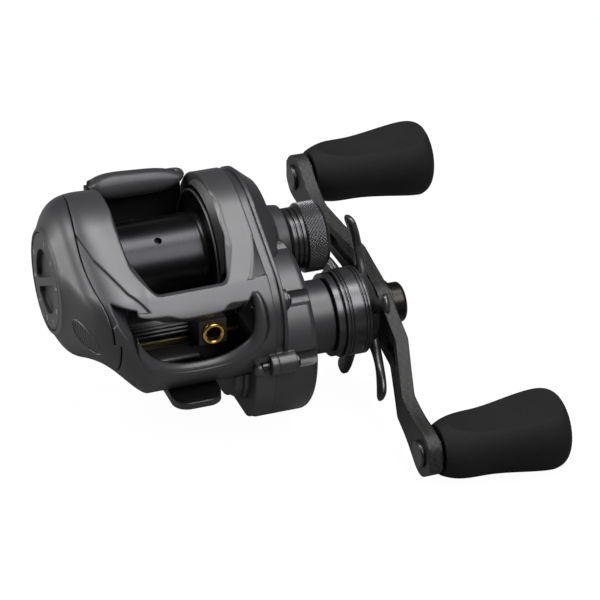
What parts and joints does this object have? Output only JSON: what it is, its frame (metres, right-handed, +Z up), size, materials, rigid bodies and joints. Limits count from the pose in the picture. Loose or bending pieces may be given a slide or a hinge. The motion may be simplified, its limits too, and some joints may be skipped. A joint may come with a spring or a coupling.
{
  "type": "baitcasting reel",
  "caption": "Low-profile baitcasting fishing reel with hooded frame, spool, level-wind line guide, star drag and double foam-knob crank handle.",
  "frame": {"origin": "centre of the reel foot's underside, on the seat that a rod's reel seat clamps", "axes": "+X along the spool axis towards the handle, -Y to the front where the line leaves, +Z up from the rod"},
  "size_m": [0.1005, 0.0974, 0.0541],
  "materials": {
    "frame_paint": "satin metallic graphite",
    "cover_paint": "satin metallic graphite, darker",
    "black_gloss": "gloss",
    "dial_black": "satin",
    "black_plastic": "matte",
    "bright_steel": "brushed",
    "spool_black": "anodised, gloss",
    "bare_aluminium": "satin",
    "brass_gear": "machined",
    "thumb_grey": "satin",
    "nylon_gear": "matte",
    "carbon_washer": "woven carbon",
    "carbon_arm": "satin, speckled carbon look",
    "bronze_grey": "satin",
    "star_black": "anodised, satin",
    "cap_grey": "anodised, knurled",
    "tube_black": "satin",
    "gold_ring": "polished ceramic, gold",
    "foam_black": "matte foam",
    "dark_screw": "satin"
  },
  "bodies": {
    "frame_body": {"frame": "frame_paint", "reel_foot": "black_gloss", "gear_cover": "cover_paint", "pinion_bearing": "bright_steel", "spool_bearing": "bright_steel", "drive_bearing": "bright_steel", "one_way_bearing": "bright_steel", "yoke_posts": "bright_steel", "yoke_springs": "bright_steel", "worm_tube": "tube_black", "worm_bushing_palm": "nylon_gear", "worm_bushing_gear": "nylon_gear", "guide_bar": "bright_steel", "cover_screws_gear": "dark_screw"},
    "palm_side": {"palm_cover": "cover_paint", "palm_bearing": "bright_steel"},
    "brake_dial_body": {"brake_dial": "dial_black"},
    "brake_magnet_body": {"magnet_carrier": "black_plastic", "brake_magnets": "bright_steel"},
    "spool_body": {"spool": "spool_black", "spool_shaft": "bright_steel", "spool_pin": "bright_steel", "brake_rotor": "bare_aluminium"},
    "yoke_body": {"clutch_yoke": "black_plastic"},
    "pinion_body": {"pinion": "brass_gear"},
    "cam_body": {"clutch_cam": "black_plastic"},
    "thumb_bar_body": {"thumb_bar": "thumb_grey", "thumb_slide": "black_plastic"},
    "crank_body": {"drive_shaft": "bright_steel", "stop_ratchet": "bright_steel", "main_gear": "brass_gear", "guide_drive_gear": "nylon_gear", "drag_washer_inner": "carbon_washer", "drag_plate": "bright_steel", "drag_washer_outer": "carbon_washer", "pressure_plate": "bright_steel", "clutch_sleeve": "bright_steel", "spring_washers": "bright_steel", "handle_arm": "carbon_arm", "handle_nut": "bronze_grey", "knob_post_front": "bronze_grey", "knob_post_rear": "bronze_grey", "knob_washer_front": "black_plastic", "knob_washer_rear": "black_plastic"},
    "star_body": {"star_drag": "star_black", "star_nut": "bright_steel"},
    "tension_cap_body": {"tension_cap": "cap_grey", "tension_pad": "black_plastic"},
    "worm_body": {"worm": "brass_gear", "worm_gear": "nylon_gear"},
    "line_guide_body": {"line_guide": "black_plastic", "line_eye": "gold_ring"},
    "front_knob_body": {"knob_front": "foam_black", "knob_bearings_front": "bright_steel"},
    "rear_knob_body": {"knob_rear": "foam_black", "knob_bearings_rear": "bright_steel"}
  },
  "joints": [
    {"name": "palm_cover_release", "type": "slide", "parent": "frame_body", "child": "palm_side", "axis": [-1, 0, 0], "range_m": [0, 0.012]},
    {"name": "brake_dial_turn", "type": "hinge", "parent": "palm_side", "child": "brake_dial_body", "pos_m": [-0.025, 0, 0.0195], "axis": [1, 0, 0], "range_deg": [0, 270]},
    {"name": "magnet_feed", "type": "slide", "parent": "palm_side", "child": "brake_magnet_body", "axis": [1, 0, 0], "range_m": [0, 0.0013]},
    {"name": "crank_spin", "type": "hinge", "parent": "frame_body", "child": "crank_body", "pos_m": [0, -0.01179, 0.00565], "axis": [1, 0, 0], "continuous": true},
    {"name": "spool_spin", "type": "hinge", "parent": "frame_body", "child": "spool_body", "pos_m": [0, 0, 0.0195], "axis": [1, 0, 0], "continuous": true},
    {"name": "yoke_slide", "type": "slide", "parent": "frame_body", "child": "yoke_body", "axis": [1, 0, 0], "range_m": [0, 0.0018], "deforming": ["yoke_springs"]},
    {"name": "pinion_spin", "type": "hinge", "parent": "yoke_body", "child": "pinion_body", "pos_m": [0.014, 0, 0.0195], "axis": [1, 0, 0], "continuous": true},
    {"name": "thumb_bar_press", "type": "slide", "parent": "frame_body", "child": "thumb_bar_body", "axis": [0, 0.342, -0.9397], "range_m": [0, 0.0032]},
    {"name": "clutch_cam_turn", "type": "hinge", "parent": "frame_body", "child": "cam_body", "pos_m": [0.015, 0, 0.0195], "axis": [1, 0, 0], "range_deg": [-25, 0]},
    {"name": "star_drag_turn", "type": "hinge", "parent": "crank_body", "child": "star_body", "pos_m": [0.04, -0.01179, 0.00565], "axis": [1, 0, 0], "range_deg": [-180, 180]},
    {"name": "tension_cap_turn", "type": "hinge", "parent": "frame_body", "child": "tension_cap_body", "pos_m": [0.034, 0, 0.0195], "axis": [1, 0, 0], "range_deg": [-180, 180]},
    {"name": "worm_spin", "type": "hinge", "parent": "frame_body", "child": "worm_body", "pos_m": [0, -0.01701, 0.01223], "axis": [1, 0, 0], "continuous": true},
    {"name": "line_guide_travel", "type": "slide", "parent": "frame_body", "child": "line_guide_body", "axis": [1, 0, 0], "range_m": [-0.0135, 0.0045]},
    {"name": "front_knob_spin", "type": "hinge", "parent": "crank_body", "child": "front_knob_body", "pos_m": [0.06, -0.05133, -0.00851], "axis": [1, 0, 0], "continuous": true},
    {"name": "rear_knob_spin", "type": "hinge", "parent": "crank_body", "child": "rear_knob_body", "pos_m": [0.06, 0.02775, 0.01981], "axis": [1, 0, 0], "continuous": true}
  ],
  "couplings": [
    {"joint": "spool_spin", "follows": "crank_spin", "ratio": -7.5},
    {"joint": "pinion_spin", "follows": "crank_spin", "ratio": -7.5},
    {"joint": "worm_spin", "follows": "crank_spin", "ratio": -1.8},
    {"joint": "yoke_slide", "follows": "thumb_bar_press", "ratio": 0.5625},
    {"joint": "clutch_cam_turn", "follows": "thumb_bar_press", "rad_per_m": -136.35},
    {"joint": "magnet_feed", "follows": "brake_dial_turn", "m_per_rad": 0.00027587}
  ]
}
